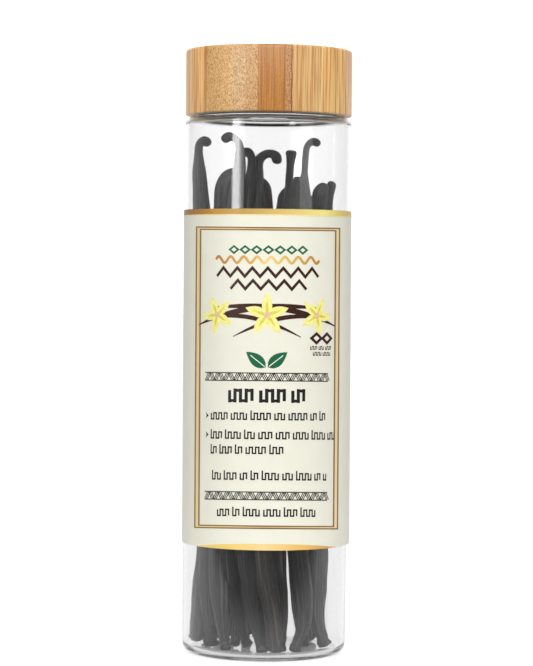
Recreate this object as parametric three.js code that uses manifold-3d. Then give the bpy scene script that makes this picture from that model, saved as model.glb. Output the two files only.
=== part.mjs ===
// A shut clear tube of vanilla pods: a plastic tube with a screw neck, a turned bamboo lid with a
// plastic insert, a paper label wrapped round the tube, and twenty whole pods standing inside.
// Millimetres, +Z up, -Y is the front. The origin is the centre of the base.

import * as THREE from 'three';
import { mergeVertices } from 'three/addons/utils/BufferGeometryUtils.js';
import Module from 'manifold-3d';

const wasm = await Module();
wasm.setup();

// ---- driving dimensions ----

const FACETS = 64; // sides of every turned piece
const GAP = 0.15; // between pieces that touch

const LID_RADIUS = 24.7;
const LID_HEIGHT = 19.4;
const LID_WALL = 2.4;
const LID_CROWN = 4;
const LID_EDGE = 0.9; // rounding of the top edge
const LID_LOWER_EDGE = 0.5;

const TUBE_HEIGHT = 158.3; // up to the shoulder
const TUBE_TOP_RADIUS = 24.75;
const TUBE_BASE_RADIUS = 24.2; // the moulded tube has a slight draft
const TUBE_WALL = 1;
const TUBE_SHOULDER = 1.7; // rounding at the shoulder
const TUBE_HEEL = 2.8; // rounding at the base
const RECESS_RADIUS = 17.5; // shallow recess under the base
const RECESS_DEPTH = 0.4;

const NECK_RADIUS = 20.7;
const NECK_WALL = 1.2;
const NECK_HEIGHT = 12.6;
const INSERT_WALL = 1.3;
const LID_LIFT = 0.7; // daylight between the shoulder and the lid

const LABEL_BOTTOM = 32.6;
const LABEL_TOP = 131;
const LABEL_INSIDE = 24.78; // a straight roll of paper, close to the tube at the top
const LABEL_THICKNESS = 0.12;
const LABEL_LEAN = 0.33; // how far its lower end hangs to the right, in the slack that the draft leaves
const LABEL_OPENING = 3; // between the label's two ends, at the back

const POD_SIDES = 6;
const POD_FLATTENING = 0.38; // how much thinner than wide the body is; the slim ends are rounder
const POD_STEP = 15; // between rings along the body
const ARC_DIVISIONS = 600; // for measuring along a centre line
const TWIST = 0.45; // radians that a pod's flat side turns either way
const CORE_RADIUS = 16.2;
const CORE_BOTTOM = 42;
const CORE_TOP = 120;
const CORE_END = 0.6; // radius of its rounded ends, as a share
const SEED = 20;

// Pods of the front row, left to right where they reach above the label. foot, waist and head are
// places across the tube; reach is the height of the tip. tip says which end is up: the slim stem, the
// flared flower end of a pod that stands upside down, or a body that ends round or blunt. curl is the
// mean radius of the bent end and turn its angle in degrees, positive to the right. bow is how far
// the foot bows sideways at the ankle, and heel the least share of its width that the foot keeps.
function pod(foot, waist, head, reach, wide, tip, curl = 0, turn = 0, bow = 0, heel = 0) {
  return { foot, waist, head, reach, wide, tip, curl, turn, bow, heel, lies: 0 };
}
const FRONT_PODS = [
  pod([-20.2, 1.5], [-16.4, 0], [-20.6, -2], 152.9, 6.2, 'stem', 1.2, 150, -0.4, 0.75),
  pod([-15.8, -5], [-16, -5], [-12.6, -8], 143.2, 7.2, 'round', 4.2, 75),
  pod([-10.9, -14.5], [-14, -11], [-8.3, -15], 153.4, 6, 'stem', 2, -145, -0.4),
  pod([-4.6, -5], [-10, -14], [-4.7, -12.5], 149.2, 5.8, 'stem', 1.4, -110, -0.6),
  pod([4, -18.4], [0.6, -17.5], [-1.5, -9.5], 141, 6, 'round', 3, -50, 0.3, 0.8),
  pod([-0.4, -18.4], [-5.2, -17], [-3.4, -10.5], 149, 6.4, 'stem', 2.4, 185),
  pod([5.2, -15.5], [4.3, -16.2], [6.6, -13], 148.4, 5.4, 'flower'),
  pod([-8.2, -5], [-5.5, -8], [4.9, -7], 138.6, 5.6, 'round', 3.4, 50),
  pod([8.6, -18.4], [9.3, -16], [8.9, -16.5], 142, 6, 'blunt', 0, 0, 3.6),
  pod([18.2, -3], [14.2, -9], [10.9, -13], 152.4, 6.5, 'long stem', 1.7, 130, -2.2),
  pod([12, -4.5], [11.5, -8.5], [15, -10.5], 139.6, 6.2, 'round', 2.4, 65),
  pod([12.8, 4], [16, 0.5], [18.2, -5.5], 141, 6, 'stem', 2.2, 35),
];

// Pods behind them: their bearing round the back, in degrees from the right, and the tip's height.
// Their flat sides lie along the wall.
const BACK_RADIUS = 17;
const BACK_PODS = [
  { bearing: 32, reach: 136 },
  { bearing: 50, reach: 137 },
  { bearing: 78, reach: 127 },
  { bearing: 92, reach: 129 },
  { bearing: 108, reach: 141 },
  { bearing: 124, reach: 128 },
  { bearing: 142, reach: 137 },
  { bearing: 160, reach: 127 },
];

// A pod's width as a share of its full width, at distances from each end.
const ROUNDING = 0.8; // from an end to the first full ring
const FOOT_LENGTH = 18;
const TIP_LENGTH = 34;
const FOOT_TAPER = [[0, 0.42], [ROUNDING, 0.52], [3, 0.45], [9, 0.74], [FOOT_LENGTH, 1]];
const TIP_TAPERS = {
  stem: [[0, 0.26], [ROUNDING, 0.46], [5, 0.4], [12, 0.64], [22, 0.82], [TIP_LENGTH, 1]],
  'long stem': [[0, 0.2], [ROUNDING, 0.35], [12, 0.3], [16.5, 0.6], [23, 1]],
  flower: [[0, 0.44], [ROUNDING, 0.57], [4, 0.4], [14, 0.4], [24, 0.86], [TIP_LENGTH, 1]],
  blunt: [[0, 0.4], [ROUNDING, 0.55], [4, 0.62], [12, 0.86], [26, 1]],
  round: [[0, 0.3], [ROUNDING, 0.56], [3, 0.76], [12, 0.88], [TIP_LENGTH, 1]],
};
const NECK_SHARE = 0.45; // at this share of its width a pod is round, and flatter above it

// The centre lines: places at the foot, at these levels up the body, and at the head.
const LEVELS = [35, 58, 82, 106];
const HEAD_LEVEL = 150; // the height that a pod's head place is meant for
const SQUEEZE = 0.88; // how far the label's zone draws the pods together
const WOBBLE = 0.9;
const ANKLE = 11; // height where a foot may kick sideways
const ANKLE_KICK = 0.4;
const ANKLE_CLEARANCE = 0.3;
const FOOT_LIFT = 0.4; // of the end of a foot above the floor, on which its lower edge is flat
const WALL_CLEARANCE = 0.6; // of the feet, past the rounding at the base
const BUNDLE_RADIUS = 20.4; // where the label hides the pods, they stay inside this
const BODY_ROOM = 0.38; // room that a pod takes at each level, as a share of its width
const FOOT_ROOM = 0.32;
const SPREAD_ROUNDS = 40;

// A bent end tightens from CURL_START to CURL_END times the pod's curl.
const CURL_STEPS = 6;
const CURL_START = 2.5;
const CURL_END = 0.52;
const DROP = 1.2; // a bent end runs straight on at its tip
const BEND_LENGTH = 1.4; // length with close rings, as a share of curl times angle

// ---- worked out from these ----

const lidBottom = TUBE_HEIGHT + LID_LIFT;
const lidTop = lidBottom + LID_HEIGHT;
const boreRadius = LID_RADIUS - LID_WALL;
const boreTop = lidTop - LID_CROWN;
const insertRadius = boreRadius - GAP;
const neckTop = TUBE_HEIGHT + NECK_HEIGHT;
const floorTop = RECESS_DEPTH + TUBE_WALL;

const tubeRadius = (z) => THREE.MathUtils.lerp(TUBE_BASE_RADIUS, TUBE_TOP_RADIUS, z / TUBE_HEIGHT);
const innerHeel = TUBE_HEEL - TUBE_WALL;
const baseInside = tubeRadius(TUBE_HEEL) - TUBE_WALL;

// ---- solids ----

function toSolid(geometry) {
  const bare = geometry.index ? geometry : geometry.clone();
  bare.deleteAttribute('normal');
  bare.deleteAttribute('uv');
  const merged = mergeVertices(bare, 1e-5);
  return new wasm.Manifold(new wasm.Mesh({
    numProp: 3,
    vertProperties: new Float32Array(merged.attributes.position.array),
    triVerts: new Uint32Array(merged.index.array),
  }));
}

function toGeometry(solid) {
  const { vertProperties, triVerts } = solid.getMesh();
  const geometry = new THREE.BufferGeometry();
  geometry.setAttribute('position', new THREE.Float32BufferAttribute(vertProperties, 3));
  geometry.setIndex(new THREE.Uint32BufferAttribute(triVerts, 1));
  geometry.computeVertexNormals();
  return geometry;
}

// Points of a quarter circle from angle a to angle b, in degrees, about a centre in the profile.
function corner(centreR, centreZ, radius, a, b, steps) {
  return Array.from({ length: steps + 1 }, (_, i) => {
    const angle = THREE.MathUtils.degToRad(THREE.MathUtils.lerp(a, b, i / steps));
    return [centreR + radius * Math.cos(angle), centreZ + radius * Math.sin(angle)];
  });
}

function turned(profile) {
  const points = profile.map(([r, z]) => new THREE.Vector2(r, z));
  return new THREE.LatheGeometry(points, FACETS).rotateX(Math.PI / 2);
}

function tubeGeometry() {
  const neckInside = NECK_RADIUS - NECK_WALL;
  const topInside = TUBE_TOP_RADIUS - TUBE_WALL;
  const innerShoulder = TUBE_SHOULDER - TUBE_WALL / 2;
  return turned([
    [0, RECESS_DEPTH],
    [RECESS_RADIUS - RECESS_DEPTH, RECESS_DEPTH],
    [RECESS_RADIUS, 0],
    ...corner(tubeRadius(TUBE_HEEL) - TUBE_HEEL, TUBE_HEEL, TUBE_HEEL, -90, 0, 4),
    ...corner(TUBE_TOP_RADIUS - TUBE_SHOULDER, TUBE_HEIGHT - TUBE_SHOULDER, TUBE_SHOULDER, 0, 90, 4),
    [NECK_RADIUS, TUBE_HEIGHT],
    [NECK_RADIUS, neckTop],
    [neckInside, neckTop],
    [neckInside, TUBE_HEIGHT - TUBE_WALL],
    ...corner(topInside - innerShoulder, TUBE_HEIGHT - TUBE_WALL - innerShoulder, innerShoulder, 90, 0, 3),
    ...corner(baseInside - innerHeel, floorTop + innerHeel, innerHeel, 0, -90, 4),
    [0, floorTop],
  ]);
}

function lidGeometry() {
  return turned([
    [0, boreTop],
    [boreRadius, boreTop],
    [boreRadius, lidBottom],
    ...corner(LID_RADIUS - LID_LOWER_EDGE, lidBottom + LID_LOWER_EDGE, LID_LOWER_EDGE, -90, 0, 2),
    ...corner(LID_RADIUS - LID_EDGE, lidTop - LID_EDGE, LID_EDGE, 0, 90, 3),
    [0, lidTop],
  ]);
}

function insertGeometry() {
  const inside = insertRadius - INSERT_WALL;
  const discTop = boreTop - GAP;
  const discBottom = discTop - INSERT_WALL;
  return turned([
    [0, discBottom],
    [inside, discBottom],
    [inside, lidBottom + GAP],
    [insertRadius, lidBottom + GAP],
    [insertRadius, discTop],
    [0, discTop],
  ]);
}

function labelGeometry() {
  const outside = LABEL_INSIDE + LABEL_THICKNESS;
  const ring = turned([
    [LABEL_INSIDE, LABEL_BOTTOM],
    [outside, LABEL_BOTTOM],
    [outside, LABEL_TOP],
    [LABEL_INSIDE, LABEL_TOP],
    [LABEL_INSIDE, LABEL_BOTTOM],
  ]);
  const opening = new THREE.BoxGeometry(LABEL_OPENING, TUBE_TOP_RADIUS, LABEL_TOP);
  opening.translate(0, TUBE_TOP_RADIUS, (LABEL_TOP + LABEL_BOTTOM) / 2);
  const slope = LABEL_LEAN / (LABEL_TOP - LABEL_BOTTOM);
  const lean = new THREE.Matrix4().set(1, 0, -slope, slope * LABEL_TOP, 0, 1, 0, 0, 0, 0, 1, 0, 0, 0, 0, 1);
  return toGeometry(toSolid(ring).subtract(toSolid(opening))).applyMatrix4(lean);
}

// ---- the pods ----

let drawn = SEED;
function random(low, high) {
  drawn = (drawn * 16807) % 2147483647;
  return low + (high - low) * (drawn / 2147483647);
}

function backPod({ bearing, reach }) {
  const at = (angle, radius) => {
    const radians = THREE.MathUtils.degToRad(angle);
    return [radius * Math.cos(radians), radius * Math.sin(radians)];
  };
  return {
    foot: at(bearing, BACK_RADIUS + random(0, 2)),
    waist: at(bearing + random(-5, 5), BACK_RADIUS - random(0.5, 2)),
    head: at(bearing + random(-6, 6), BACK_RADIUS + random(-1.5, 1.5)),
    reach,
    tip: 'stem',
    curl: random(1.8, 2.6),
    turn: random(60, 130) * Math.sign(bearing - 90),
    wide: random(5.2, 6.4),
    bow: 0,
    heel: 0,
    lies: bearing + 90,
  };
}

// Moves the pods apart at one level until they lie side by side, inside a circle.
function spread(places, radii, limit) {
  for (let round = 0; round < SPREAD_ROUNDS; round += 1) {
    for (let i = 0; i < places.length; i += 1) {
      for (let j = i + 1; j < places.length; j += 1) {
        const apart = places[j].clone().sub(places[i]);
        const distance = Math.max(apart.length(), 1e-3);
        const overlap = (radii[i] + radii[j]) - distance;
        if (overlap > 0) {
          apart.multiplyScalar(overlap / distance / 2);
          places[i].sub(apart);
          places[j].add(apart);
        }
      }
      const room = limit - radii[i];
      if (places[i].length() > room) places[i].setLength(room);
    }
  }
}

// The arc of a bent end, as steps across and up from its start.
function curlArc({ curl, turn }) {
  const sweep = THREE.MathUtils.degToRad(Math.abs(turn));
  const arc = [[0, 0]];
  for (let i = 1; curl > 0 && i <= CURL_STEPS; i += 1) {
    const [from, to] = [(sweep * (i - 1)) / CURL_STEPS, (sweep * i) / CURL_STEPS];
    const radius = curl * CURL_START * (CURL_END / CURL_START) ** ((i - 0.5) / CURL_STEPS);
    const [across, up] = arc[i - 1];
    arc.push([
      across + radius * (Math.cos(from) - Math.cos(to)),
      up + radius * (Math.sin(to) - Math.sin(from)),
    ]);
  }
  if (curl > 0) {
    const [across, up] = arc[CURL_STEPS];
    arc.push([across + DROP * Math.sin(sweep), up + DROP * Math.cos(sweep)]);
  }
  return arc;
}

// Where every pod passes one level: between its waist and its head, and clear of the others.
function placesAt(z, pods) {
  const share = (z - LEVELS[0]) / (HEAD_LEVEL - LEVELS[0]);
  const pull = z === LEVELS[0] ? 1 : SQUEEZE;
  const places = pods.map(({ waist, head }) => new THREE.Vector2(...waist)
    .lerp(new THREE.Vector2(...head), share)
    .multiplyScalar(pull)
    .add(new THREE.Vector2(random(-WOBBLE, WOBBLE), random(-WOBBLE, WOBBLE))));
  spread(places, pods.map(({ wide }) => wide * BODY_ROOM), BUNDLE_RADIUS);
  return places;
}

function feetPlaces(pods) {
  const places = pods.map(({ foot }) => new THREE.Vector2(...foot));
  const limit = TUBE_BASE_RADIUS - TUBE_WALL - WALL_CLEARANCE;
  spread(places, pods.map(({ wide }) => wide * FOOT_ROOM), limit);
  return places;
}

// How far the rounding inside the base lifts what stands at a reach from the axis.
function heelRise(reach) {
  const over = Math.max(0, reach - (baseInside - innerHeel));
  return innerHeel - Math.sqrt(innerHeel ** 2 - over ** 2);
}

// The centre line of each pod: its foot and ankle, the levels up its body, then its bent end.
function podLines(pods) {
  const levels = LEVELS.map((z) => placesAt(z, pods));
  const feet = feetPlaces(pods);
  return pods.map((pod, k) => {
    const kick = new THREE.Vector2(random(-ANKLE_KICK, ANKLE_KICK), random(-ANKLE_KICK, ANKLE_KICK) / 2);
    const ankle = feet[k].clone().lerp(levels[0][k], ANKLE / LEVELS[0]).add(kick);
    ankle.x += pod.bow;
    ankle.clampLength(0, TUBE_BASE_RADIUS - TUBE_WALL - ANKLE_CLEARANCE - pod.wide / 2);
    const footZ = floorTop + FOOT_LIFT + heelRise(feet[k].length() + pod.wide * BODY_ROOM);
    const arc = curlArc(pod);
    const rise = Math.max(...arc.map(([, up]) => up));
    const tipRadius = pod.tip === 'flower' ? 0 : (pod.wide / 2) * NECK_SHARE;
    const headZ = pod.reach - rise - tipRadius;
    return [
      new THREE.Vector3(feet[k].x, feet[k].y, footZ),
      new THREE.Vector3(ankle.x, ankle.y, ANKLE),
      ...LEVELS.map((z, level) => new THREE.Vector3(levels[level][k].x, levels[level][k].y, z)),
      ...arc.map(([across, up]) => new THREE.Vector3(
        pod.head[0] + Math.sign(pod.turn) * across, pod.head[1], headZ + up,
      )),
    ];
  });
}

// The share of its full width that a pod has at a distance from one end.
function widthShare(taper, distance) {
  const next = taper.findIndex(([at]) => at >= distance);
  if (next === -1) return 1;
  if (next === 0) return taper[0][1];
  const [[a, low], [b, high]] = [taper[next - 1], taper[next]];
  return THREE.MathUtils.lerp(low, high, (distance - a) / (b - a));
}

// Distances along a pod at which it has a ring: those of its tapers, close in the bend, wide apart
// between.
function ringPlaces(length, bendLength, taper) {
  const places = FOOT_TAPER.map(([at]) => at);
  const body = length - TIP_LENGTH - FOOT_LENGTH;
  const steps = Math.max(1, Math.round(body / POD_STEP));
  for (let i = 1; i <= steps; i += 1) places.push(FOOT_LENGTH + (body * i) / steps);
  const bendStart = Math.max(bendLength, ROUNDING) + ROUNDING;
  const tapered = taper.map(([at]) => at).filter((at) => at > bendStart && at < TIP_LENGTH);
  for (const at of tapered.reverse()) places.push(length - at);
  for (let i = 0; i < CURL_STEPS && bendLength > 0; i += 1) {
    places.push(length - bendLength + ((bendLength - ROUNDING) * i) / CURL_STEPS);
  }
  places.push(length - ROUNDING, length);
  return places;
}

// One pod as a closed skin: rings of a flattened section along its line, and a fan at each end.
function podGeometry(pod, line) {
  const curve = new THREE.CatmullRomCurve3(line, false, 'centripetal');
  curve.arcLengthDivisions = ARC_DIVISIONS;
  const length = curve.getLength();
  const sweep = THREE.MathUtils.degToRad(Math.abs(pod.turn));
  const bendLength = pod.curl > 0 ? BEND_LENGTH * pod.curl * sweep + DROP : 0;
  const places = ringPlaces(length, bendLength, TIP_TAPERS[pod.tip]);
  const positions = [];
  const tangent = curve.getTangentAt(0);
  const side = new THREE.Vector3(Math.cos(pod.facing), Math.sin(pod.facing), 0);
  side.addScaledVector(tangent, -side.dot(tangent)).normalize();
  const step = new THREE.Quaternion();
  for (const place of places) {
    const at = curve.getPointAt(Math.min(place / length, 1));
    const ahead = curve.getTangentAt(Math.min(place / length, 1));
    side.applyQuaternion(step.setFromUnitVectors(tangent, ahead));
    tangent.copy(ahead);
    const up = new THREE.Vector3().crossVectors(tangent, side);
    const fromTip = widthShare(TIP_TAPERS[pod.tip], length - place);
    const fromFoot = Math.max(widthShare(FOOT_TAPER, place), place < ROUNDING ? 0 : pod.heel);
    const slimness = Math.min(fromFoot, fromTip);
    const radius = (pod.wide / 2) * slimness;
    const fullness = Math.max(0, slimness - NECK_SHARE) / (1 - NECK_SHARE);
    const thickness = radius * (1 - POD_FLATTENING * fullness);
    for (let i = 0; i < POD_SIDES; i += 1) {
      const angle = (i / POD_SIDES) * Math.PI * 2;
      const point = at.clone()
        .addScaledVector(side, radius * Math.cos(angle))
        .addScaledVector(up, thickness * Math.sin(angle));
      positions.push(point.x, point.y, Math.max(point.z, floorTop + GAP));
    }
  }
  const start = positions.length / 3;
  positions.push(...line[0].toArray(), ...line[line.length - 1].toArray());
  const index = [];
  for (let ring = 0; ring < places.length; ring += 1) {
    for (let i = 0; i < POD_SIDES; i += 1) {
      const a = ring * POD_SIDES + i;
      const b = ring * POD_SIDES + ((i + 1) % POD_SIDES);
      if (ring === 0) index.push(start, b, a);
      if (ring === places.length - 1) index.push(start + 1, a, b);
      else index.push(a, b, b + POD_SIDES, a, b + POD_SIDES, a + POD_SIDES);
    }
  }
  const geometry = new THREE.BufferGeometry();
  geometry.setAttribute('position', new THREE.Float32BufferAttribute(positions, 3));
  geometry.setIndex(index);
  return geometry;
}

// The hidden middle of the bundle, behind the label, which the pods are fused to.
function coreGeometry() {
  const end = CORE_RADIUS * CORE_END;
  const slope = CORE_RADIUS - end;
  return turned([
    [0, CORE_BOTTOM],
    [end, CORE_BOTTOM],
    [CORE_RADIUS, CORE_BOTTOM + slope],
    [CORE_RADIUS, CORE_TOP - slope],
    [end, CORE_TOP],
    [0, CORE_TOP],
  ]);
}

function podsGeometry() {
  const pods = [...FRONT_PODS, ...BACK_PODS.map(backPod)];
  for (const pod of pods) pod.facing = THREE.MathUtils.degToRad(pod.lies) + random(-TWIST, TWIST);
  const lines = podLines(pods);
  const skins = pods.map((pod, k) => toSolid(podGeometry(pod, lines[k])));
  const bundle = skins.reduce((joined, skin) => joined.add(skin), toSolid(coreGeometry()));
  // The largest shell is the bundle; smaller ones are hollows that the fusing has sealed.
  const shells = bundle.decompose();
  return toGeometry(shells.reduce((a, b) => (b.volume() > a.volume() ? b : a)));
}

// ---- the pieces, each with its material ----

const tube = new THREE.Mesh(tubeGeometry(), new THREE.MeshStandardMaterial({
  color: 0xf2f4f4, roughness: 0.05, metalness: 0, transparent: true, opacity: 0.2,
}));
tube.name = 'tube';

const lid = new THREE.Mesh(lidGeometry(), new THREE.MeshStandardMaterial({
  color: 0xd9a96c, roughness: 0.5, metalness: 0,
}));
lid.name = 'lid';

const lidInsert = new THREE.Mesh(insertGeometry(), new THREE.MeshStandardMaterial({
  color: 0xe6e4de, roughness: 0.4, metalness: 0,
}));
lidInsert.name = 'lid_insert';

const label = new THREE.Mesh(labelGeometry(), new THREE.MeshStandardMaterial({
  color: 0xf5f5e8, roughness: 0.6, metalness: 0,
}));
label.name = 'label';

const vanillaPods = new THREE.Mesh(podsGeometry(), new THREE.MeshStandardMaterial({
  color: 0x2a2624, roughness: 0.45, metalness: 0,
}));
vanillaPods.name = 'vanilla_pods';

const pack = new THREE.Group();
pack.add(tube, lid, lidInsert, label, vanillaPods);

export default pack;
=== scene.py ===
# %% [markdown]
# # A shut tube of vanilla pods
#
# Twenty dried vanilla pods stand in a clear plastic tube with a bamboo screw lid and a paper label.
# The frame holds the solids at their true size. This lesson gives each of them its fine shape and its
# finish: the moulded tube, the turned lid, the printed paper and the wrinkled skins of the pods.
# Sizes are in millimetres until a mesh is made, and every object stays at the origin with its place
# in its mesh.

# %% Load the frame
import math

import bmesh
import bpy
import numpy as np
from mathutils import Matrix, Vector


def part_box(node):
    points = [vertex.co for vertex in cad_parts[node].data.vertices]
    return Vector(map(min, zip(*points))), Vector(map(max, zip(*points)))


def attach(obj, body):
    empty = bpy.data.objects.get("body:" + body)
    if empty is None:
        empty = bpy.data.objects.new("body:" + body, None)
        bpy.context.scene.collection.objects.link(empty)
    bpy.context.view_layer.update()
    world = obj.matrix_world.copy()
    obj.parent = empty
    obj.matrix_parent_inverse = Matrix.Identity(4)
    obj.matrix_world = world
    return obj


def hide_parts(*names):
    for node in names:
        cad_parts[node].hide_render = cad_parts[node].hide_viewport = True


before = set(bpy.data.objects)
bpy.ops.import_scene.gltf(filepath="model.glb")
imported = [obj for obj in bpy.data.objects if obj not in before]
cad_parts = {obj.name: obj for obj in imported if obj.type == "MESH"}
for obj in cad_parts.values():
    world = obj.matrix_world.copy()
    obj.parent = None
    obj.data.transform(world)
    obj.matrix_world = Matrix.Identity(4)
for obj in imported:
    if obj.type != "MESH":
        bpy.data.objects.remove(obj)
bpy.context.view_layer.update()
MM = 0.001
print("nodes:", sorted(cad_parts))

# %% [markdown]
# ## Helpers
#
# Colours are written as sRGB hex values, as a picker shows them, and Blender's sockets want linear
# light, so one function converts. Another feeds a node's inputs, each with a plain value, with the
# socket it comes from, or with a node, whose first output counts. A third adds a node to any tree.

# %% Colours and nodes


def linear(hex_colour):
    """An sRGB hex colour as linear red, green, blue and alpha."""
    parts = [int(hex_colour[i:i + 2], 16) / 255 for i in (1, 3, 5)]
    return tuple(p / 12.92 if p <= 0.04045 else ((p + 0.055) / 1.055) ** 2.4 for p in parts) + (1,)


def feed(node, inputs):
    """Gives a node its inputs: plain values, hex colours, sockets or nodes."""
    for name, value in inputs.items():
        if isinstance(value, bpy.types.Node):
            value = value.outputs[0]
        if isinstance(value, bpy.types.NodeSocket):
            node.id_data.links.new(value, node.inputs[name])
        else:
            is_colour = isinstance(value, str) and value.startswith("#")
            node.inputs[name].default_value = linear(value) if is_colour else value


def add(tree, kind, settings=None, inputs=None, stops=()):
    """Adds a node with its settings, its inputs and the stops of its colour ramp, places with colours."""
    made = tree.nodes.new(kind)
    for name, value in (settings or {}).items():
        setattr(made, name, value)
    for i, (place, colour) in enumerate(stops):
        elements = made.color_ramp.elements
        stop = elements[i] if i < len(elements) else elements.new(place)
        stop.position, stop.color = place, linear(colour)
    feed(made, inputs or {})
    return made


def material(name):
    """A new material with its tree and its shader."""
    made = bpy.data.materials.new(name)
    made.use_nodes = True
    return made, made.node_tree, made.node_tree.nodes["Principled BSDF"]


# %% [markdown]
# Most skins are noise of some size on a place in millimetres: drawn out along the grain of wood or the
# wrinkles of a pod, or the same in every direction where a colour is only a little uneven.

# %% Noise and uneven colours


def in_millimetres(tree):
    """The place on the object, in millimetres."""
    place = add(tree, "ShaderNodeTexCoord").outputs["Object"]
    return add(tree, "ShaderNodeVectorMath", {"operation": "SCALE"}, {0: place, "Scale": 1 / MM})


def drawn_out(tree, where, waves, detail, roughness=0.5):
    """Noise with so many waves to the millimetre along each axis."""
    at = add(tree, "ShaderNodeVectorMath", {"operation": "MULTIPLY"}, {0: where, 1: waves})
    return add(tree, "ShaderNodeTexNoise", inputs={
        "Vector": at, "Scale": 1.0, "Detail": detail, "Roughness": roughness})


def uneven(name, dark, light, waves, roughness, specular, detail=2.0, spread=0.2):
    """A material between two near colours, and its tree and shader."""
    made, tree, shader = material(name)
    patches = drawn_out(tree, in_millimetres(tree), (waves,) * 3, detail)
    colour = add(tree, "ShaderNodeValToRGB", inputs={"Fac": patches},
                 stops=[(0.5 - spread, dark), (0.5 + spread, light)])
    feed(shader, {"Base Color": colour, "Roughness": roughness, "Specular IOR Level": specular})
    return made, tree, shader


# %% [markdown]
# A finished piece gets its material and rides on the one body. Meshes are handed over as arrays of
# points in millimetres and lists of faces.

# %% Making a piece


def in_scene(name, data):
    """A new object at the origin."""
    made = bpy.data.objects.new(name, data)
    bpy.context.scene.collection.objects.link(made)
    return made


def to_object(name, points, faces, finish=None, edges=()):
    """A mesh object from points in millimetres."""
    mesh = bpy.data.meshes.new(name)
    mesh.from_pydata([tuple(p) for p in np.asarray(points, float) * MM], edges, faces)
    if finish:
        mesh.materials.append(finish)
    return in_scene(name, mesh)


def point_outwards(piece):
    """Merges doubles and turns every face of a closed skin outwards."""
    work = bmesh.new()
    work.from_mesh(piece.data)
    bmesh.ops.remove_doubles(work, verts=work.verts, dist=1e-6)
    bmesh.ops.recalc_face_normals(work, faces=work.faces)
    work.to_mesh(piece.data)
    work.free()


def hand_over(piece, replaced=None, smooth=35):
    """Shades a piece smooth up to an angle in degrees and ties it to the frame."""
    piece.data.shade_smooth()
    piece.data.set_sharp_from_angle(angle=math.radians(smooth))
    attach(piece, "root")
    if replaced:
        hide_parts(replaced)
    print(piece.name, len(piece.data.vertices), "points,", len(piece.data.polygons), "faces")


# %% [markdown]
# ## Camera
#
# The tube is seen from straight in front, from a little below the height of its label's top, with a
# long lens that keeps its sides parallel. The camera looks down by less than two degrees.

# %% Set the camera
CAMERA_DISTANCE = 0.746
CAMERA_HEIGHT = 0.112
CAMERA_PITCH = 1.327
CAMERA_ROLL = 0.57
LENS = 135.6

camera_data = bpy.data.cameras.new("camera")
camera_data.lens = LENS
camera_data.clip_start = 0.01
camera = in_scene("camera", camera_data)
bpy.context.scene.camera = camera
camera.location = (0, -CAMERA_DISTANCE, CAMERA_HEIGHT)
turn = Matrix.Rotation(math.radians(90 - CAMERA_PITCH), 3, "X")
roll = Matrix.Rotation(math.radians(CAMERA_ROLL), 3, "Z")
camera.rotation_euler = (turn @ roll).to_euler()

# %% [markdown]
# ## Light and floor
#
# Clear plastic shows only what stands round it. So the room is an even white straight behind the tube
# and dimmer elsewhere, most of all in front and overhead, which gives the tube its edges. Its walls are
# far off and count only in what is seen through the plastic and mirrored in it. Upright soft boxes draw
# the long highlights on the wall. The left one is built up of four, from narrow and bright to wide and
# weak, so that its highlight fades out. A large one high in front lights the label, so that its
# brightness falls off to both sides, and one overhead lights the lid. The floor is a light table: a
# card that glows as if lit from below. Its glow is painted: it fades towards the front, and a painted
# shadow darkens it under the tube.

# %% Light the set
# What the light of the room and of the floor depends on: an axis, where a change begins and ends
# along it, and the values there. They are multiplied.
ROOM_FADES = [
    ("Y", 0.68, 0.96, 0.6, 1.33),  # from the sides to straight behind the tube
    ("Y", -1.0, -0.72, 0.3, 1.0),  # from where the camera stands to the sides
    ("Z", 0.35, 0.8, 1.0, 0.6),  # from the walls to the ceiling
]
FLOOR_GLOW_AND_PAINTED_SHADOW = [
    # painted light: the card's glow fades from the tube towards the front
    ("Y", -0.12, -0.035, 0.16, 1.0),  # from the front to the tube, in metres
    # painted shadow: the card glows less under the tube than round it
    ("radius", 0.018, 0.025, 0.4, 1.0),  # from under the tube to round it
]


def faded(tree, place, fades):
    """The product of the fades at a place."""
    read = dict(add(tree, "ShaderNodeSeparateXYZ", inputs={0: place}).outputs.items())
    read["radius"] = add(tree, "ShaderNodeVectorMath", {"operation": "LENGTH"}, {0: place}).outputs["Value"]
    product = 1.0
    for axis, start, end, low, high in fades:
        fade = add(tree, "ShaderNodeMapRange", {"interpolation_type": "SMOOTHSTEP"}, {
            "Value": read[axis], "From Min": start, "From Max": end, "To Min": low, "To Max": high})
        product = add(tree, "ShaderNodeMath", {"operation": "MULTIPLY"}, {0: product, 1: fade})
    return product


world = bpy.data.worlds.new("white studio")
bpy.context.scene.world = world
world.use_nodes = True
sky = world.node_tree
heading = add(sky, "ShaderNodeTexCoord").outputs["Generated"]
feed(sky.nodes["Background"], {"Color": "#ffffff", "Strength": faded(sky, heading, ROOM_FADES)})
world.cycles_visibility.diffuse = False

# Bearing in degrees from the front, distance and height of the lower edge, width and height in metres,
# brightness, and whether it lights matt things. All are upright and face the tube but the overhead one.
SOFT_BOXES = {
    "left soft box": (-44.8, 0.9, 0.02, 0.15, 0.8, 4.5, False),
    "left soft box cloth": (-44.2, 0.92, 0.02, 0.22, 0.8, 2.8, False),
    "left soft box rim": (-42, 0.94, 0.02, 0.29, 0.8, 1.2, False),
    "left soft box edge": (-50, 0.96, 0.02, 0.5, 0.8, 0.3, True),
    "right soft box": (54, 0.9, 0.02, 0.3, 0.8, 1.1, True),
    "front fill": (0, 1.0, 0.4, 1.0, 0.7, 8.2, True),
    "overhead soft box": (180, 0.2, 0.5, 1.6, 1.6, 1.2, True),
}

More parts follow.
